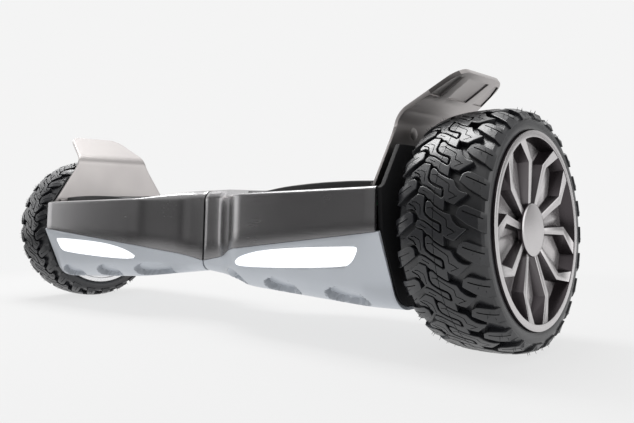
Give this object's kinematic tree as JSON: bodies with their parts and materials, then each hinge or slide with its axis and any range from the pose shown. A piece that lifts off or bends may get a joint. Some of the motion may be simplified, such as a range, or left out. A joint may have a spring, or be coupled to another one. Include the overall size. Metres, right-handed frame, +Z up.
{
  "type": "hoverboard",
  "caption": "Two-wheeled self-balancing board: pivoting halves with foot mats, fenders and lamps, off-road tyres on hub motors.",
  "frame": {"origin": "on the floor under the centre pivot, midway between the wheels", "axes": "+X along the wheels' common axis to the half with the charging port, +Y to the rear, +Z up"},
  "size_m": [0.7704, 0.216, 0.2515],
  "materials": {
    "gunmetal": "metallic satin lacquer",
    "silver_plastic": "silver satin lacquer",
    "fender_grey": "metallic satin lacquer, black towards the base",
    "black_plastic": "fine moulded grain",
    "mat_rubber": "ribbed, matt",
    "tyre_rubber": "moulded tread",
    "lens_white": "frosted, lit from behind",
    "rim_grey": "metallic satin lacquer",
    "cast_alloy": "die cast",
    "steel": "machined",
    "copper_windings": "steel core with copper windings",
    "board_green": "circuit board",
    "battery_blue": "shrink-wrapped",
    "bush_white": "smooth"
  },
  "bodies": {
    "left_half": {"left_upper_cover": "gunmetal", "left_lower_cover": "silver_plastic", "left_fender": "fender_grey", "left_wheel_arch": "black_plastic", "left_lamp_lens": "lens_white", "left_lamp_board": "board_green", "left_frame": "cast_alloy", "left_axle_clamp": "cast_alloy", "left_motor_axle": "steel", "left_stator": "copper_windings", "left_sensor_board": "board_green", "left_motor_cable": "black_plastic", "battery_pack": "battery_blue", "pivot_tube": "steel", "pivot_collar": "steel", "centre_seal": "mat_rubber", "centre_harness": "black_plastic"},
    "right_half": {"right_upper_cover": "gunmetal", "right_lower_cover": "silver_plastic", "right_fender": "fender_grey", "right_wheel_arch": "black_plastic", "right_lamp_lens": "lens_white", "right_lamp_board": "board_green", "right_frame": "cast_alloy", "right_axle_clamp": "cast_alloy", "right_motor_axle": "steel", "right_stator": "copper_windings", "right_sensor_board": "board_green", "right_motor_cable": "black_plastic", "control_board": "board_green", "heat_sink": "cast_alloy", "button_housing": "black_plastic", "charge_socket": "black_plastic", "pivot_bush_inner": "bush_white", "pivot_bush_outer": "bush_white"},
    "left_wheel": {"left_magnet_ring": "steel", "left_motor_shell": "cast_alloy", "left_side_cover": "cast_alloy", "left_bearing_inner": "steel", "left_bearing_outer": "steel", "left_rim_cover": "rim_grey", "left_hub_cap": "rim_grey", "left_tyre": "tyre_rubber"},
    "right_wheel": {"right_magnet_ring": "steel", "right_motor_shell": "cast_alloy", "right_side_cover": "cast_alloy", "right_bearing_inner": "steel", "right_bearing_outer": "steel", "right_rim_cover": "rim_grey", "right_hub_cap": "rim_grey", "right_tyre": "tyre_rubber"},
    "left_mat": {"left_foot_mat": "mat_rubber"},
    "right_mat": {"right_foot_mat": "mat_rubber"},
    "button": {"power_button": "steel"},
    "port_cap": {"charge_cap": "mat_rubber"}
  },
  "joints": [
    {"name": "half_twist", "type": "hinge", "parent": "left_half", "child": "right_half", "pos_m": [0, 0, 0.108], "axis": [1, 0, 0], "range_deg": [-12, 12]},
    {"name": "left_wheel_spin", "type": "hinge", "parent": "left_half", "child": "left_wheel", "pos_m": [-0.345, 0, 0.108], "axis": [1, 0, 0], "continuous": true},
    {"name": "right_wheel_spin", "type": "hinge", "parent": "right_half", "child": "right_wheel", "pos_m": [0.345, 0, 0.108], "axis": [1, 0, 0], "continuous": true},
    {"name": "left_mat_press", "type": "slide", "parent": "left_half", "child": "left_mat", "axis": [0, 0, -1], "range_m": [0, 0.0012], "stiffness_N_per_m": 40000},
    {"name": "right_mat_press", "type": "slide", "parent": "right_half", "child": "right_mat", "axis": [0, 0, -1], "range_m": [0, 0.0012], "stiffness_N_per_m": 40000},
    {"name": "power_button_press", "type": "slide", "parent": "right_half", "child": "button", "axis": [0.0637, -0.9863, 0.1519], "range_m": [0, 0.0012], "stiffness_N_per_m": 900},
    {"name": "port_cap_swing", "type": "hinge", "parent": "right_half", "child": "port_cap", "pos_m": [0.15767, 0.09932, 0.09166], "axis": [0.9979, 0.0645, 0], "range_deg": [0, 110], "stiffness_Nm_per_rad": 0.004, "springref_deg": -8.59}
  ]
}
